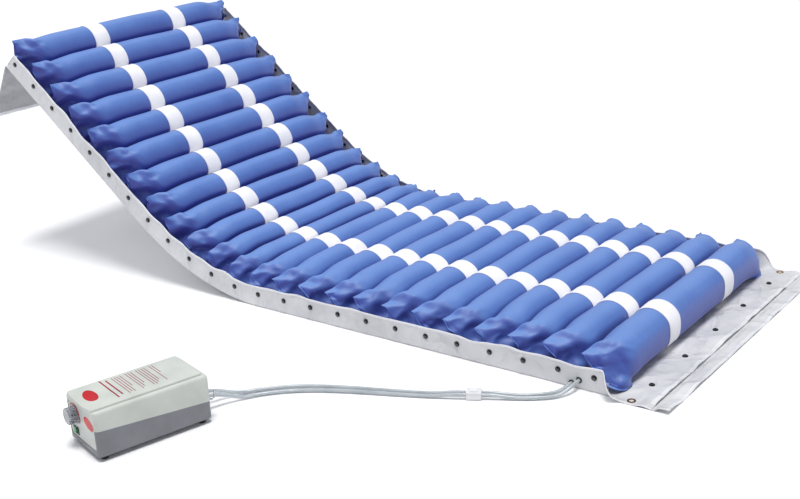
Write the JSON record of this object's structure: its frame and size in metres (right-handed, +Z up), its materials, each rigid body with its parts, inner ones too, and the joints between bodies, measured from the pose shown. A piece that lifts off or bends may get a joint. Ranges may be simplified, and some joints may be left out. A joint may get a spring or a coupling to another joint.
{
  "type": "alternating pressure relief mattress",
  "caption": "Alternating air-cell pressure relief mattress with a raised back section, snap-edged base sheet, tuck flaps and a small air pump joined by a twin hose.",
  "frame": {"origin": "centre of the underside of the flat leg section", "axes": "+X towards the foot end, -Y towards the side the pump stands on, +Z up"},
  "size_m": [2.0339, 1.5535, 0.5937],
  "materials": {
    "arm_aluminium": "satin",
    "board_green": "satin",
    "border_pvc": "satin",
    "cell_nylon": "satin",
    "coil_iron": "matte",
    "coupler_white": "satin",
    "eyelet_brass": "polished",
    "foot_rubber": "matte",
    "hanger_steel": "polished",
    "hose_clear_pvc": "gloss",
    "knob_smoke": "gloss",
    "print_red": "gloss",
    "pump_grey_abs": "satin",
    "pump_panel_film": "satin",
    "pump_white_abs": "satin",
    "rocker_green": "gloss",
    "screw_steel": "satin",
    "snap_black": "gloss",
    "strap_webbing": "matte",
    "switch_black": "satin",
    "valve_acetal": "satin",
    "valve_brass": "satin"
  },
  "bodies": {
    "leg_section": {"base_sheet_legs": "border_pvc", "air_cells_legs_line_a": "cell_nylon", "air_cells_legs_line_b": "cell_nylon", "retaining_straps_legs": "strap_webbing", "snap_studs_legs": "snap_black", "air_lines_legs": "hose_clear_pvc", "corner_eyelets": "eyelet_brass", "twin_air_hose": "hose_clear_pvc", "hose_coupler": "coupler_white", "pump_top_cover": "pump_white_abs", "pump_bottom_tub": "pump_grey_abs", "pump_front_panel": "pump_panel_film", "pump_label_prints": "print_red", "pump_switch_housing": "switch_black", "pump_rubber_feet": "foot_rubber", "pump_case_screws": "screw_steel", "pump_air_ports": "coupler_white", "pump_mains_inlet": "switch_black", "pump_compressor": "coil_iron", "pump_valve_body": "valve_acetal", "pump_circuit_board": "board_green"},
    "bend_12": {"base_sheet_12": "border_pvc", "air_cell_12": "cell_nylon", "retaining_straps_12": "strap_webbing", "snap_studs_12": "snap_black", "air_lines_12": "hose_clear_pvc"},
    "bend_11": {"base_sheet_11": "border_pvc", "air_cell_11": "cell_nylon", "retaining_straps_11": "strap_webbing", "snap_studs_11": "snap_black", "air_lines_11": "hose_clear_pvc"},
    "bend_10": {"base_sheet_10": "border_pvc", "air_cell_10": "cell_nylon", "retaining_straps_10": "strap_webbing", "snap_studs_10": "snap_black", "air_lines_10": "hose_clear_pvc"},
    "bend_09": {"base_sheet_09": "border_pvc", "air_cell_09": "cell_nylon", "retaining_straps_09": "strap_webbing", "snap_studs_09": "snap_black", "air_lines_09": "hose_clear_pvc"},
    "bend_08": {"base_sheet_08": "border_pvc", "air_cell_08": "cell_nylon", "retaining_straps_08": "strap_webbing", "snap_studs_08": "snap_black", "air_lines_08": "hose_clear_pvc"},
    "back_section": {"base_sheet_back": "border_pvc", "air_cells_back_line_a": "cell_nylon", "air_cells_back_line_b": "cell_nylon", "retaining_straps_back": "strap_webbing", "snap_studs_back": "snap_black", "air_lines_back": "hose_clear_pvc"},
    "head_flap": {"head_flap": "border_pvc"},
    "foot_flap": {"foot_flap": "border_pvc"},
    "pump_knob": {"pump_knob": "knob_smoke", "pump_flow_valve_shaft": "valve_brass"},
    "pump_rocker": {"pump_rocker_switch": "rocker_green"},
    "pump_hanger": {"pump_hanger_hook": "hanger_steel"},
    "compressor_arm": {"pump_compressor_arm": "arm_aluminium"},
    "valve_rotor": {"pump_valve_rotor": "valve_acetal"}
  },
  "joints": [
    {"name": "back_raise", "type": "hinge", "parent": "leg_section", "child": "bend_12", "pos_m": [-0.5, 0, 0], "axis": [0, 1, 0], "range_deg": [-9.5, 5.04]},
    {"name": "back_raise_2", "type": "hinge", "parent": "bend_12", "child": "bend_11", "pos_m": [-0.58219, 0, 0.01375], "axis": [0, 1, 0], "range_deg": [-7.52, 4]},
    {"name": "back_raise_3", "type": "hinge", "parent": "bend_11", "child": "bend_10", "pos_m": [-0.66188, 0, 0.03812], "axis": [0, 1, 0], "range_deg": [-7.02, 3.73]},
    {"name": "back_raise_4", "type": "hinge", "parent": "bend_10", "child": "bend_09", "pos_m": [-0.73801, 0, 0.07201], "axis": [0, 1, 0], "range_deg": [-7.02, 3.73]},
    {"name": "back_raise_5", "type": "hinge", "parent": "bend_09", "child": "bend_08", "pos_m": [-0.80944, 0, 0.11493], "axis": [0, 1, 0], "range_deg": [-6.02, 3.2]},
    {"name": "back_raise_6", "type": "hinge", "parent": "bend_08", "child": "back_section", "pos_m": [-0.87599, 0, 0.16508], "axis": [0, 1, 0], "range_deg": [-2.22, 1.19]},
    {"name": "head_flap_fold", "type": "hinge", "parent": "back_section", "child": "head_flap", "pos_m": [-1.31811, 0, 0.52696], "axis": [0, 1, 0], "range_deg": [-58, 99]},
    {"name": "foot_flap_fold", "type": "hinge", "parent": "leg_section", "child": "foot_flap", "pos_m": [0.594, 0, 0.001], "axis": [0, 1, 0], "range_deg": [-20, 95]},
    {"name": "pump_knob_turn", "type": "hinge", "parent": "leg_section", "child": "pump_knob", "pos_m": [-0.28727, -1.10833, 0.068], "axis": [-0.2756, -0.9613, 0], "range_deg": [-135, 135]},
    {"name": "pump_switch_rock", "type": "hinge", "parent": "leg_section", "child": "pump_rocker", "pos_m": [-0.28933, -1.10462, 0.033], "axis": [0, 0, 1], "range_deg": [0, 16]},
    {"name": "pump_hanger_swing", "type": "hinge", "parent": "leg_section", "child": "pump_hanger", "pos_m": [-0.18999, -0.87792, 0.086], "axis": [0.9613, -0.2756, 0], "range_deg": [0, 150]},
    {"name": "compressor_arm_swing", "type": "hinge", "parent": "leg_section", "child": "compressor_arm", "pos_m": [-0.21764, -0.94802, 0.0315], "axis": [0, 0, 1], "range_deg": [-1.5, 1.5]},
    {"name": "valve_rotor_spin", "type": "hinge", "parent": "leg_section", "child": "valve_rotor", "pos_m": [-0.20142, -1.04837, 0.0395], "axis": [0, 0, 1], "continuous": true}
  ],
  "couplings": [
    {"joint": "back_raise_2", "follows": "back_raise", "ratio": 0.78947},
    {"joint": "back_raise_3", "follows": "back_raise", "ratio": 0.73684},
    {"joint": "back_raise_4", "follows": "back_raise", "ratio": 0.73684},
    {"joint": "back_raise_5", "follows": "back_raise", "ratio": 0.63158},
    {"joint": "back_raise_6", "follows": "back_raise", "ratio": 0.23158}
  ]
}
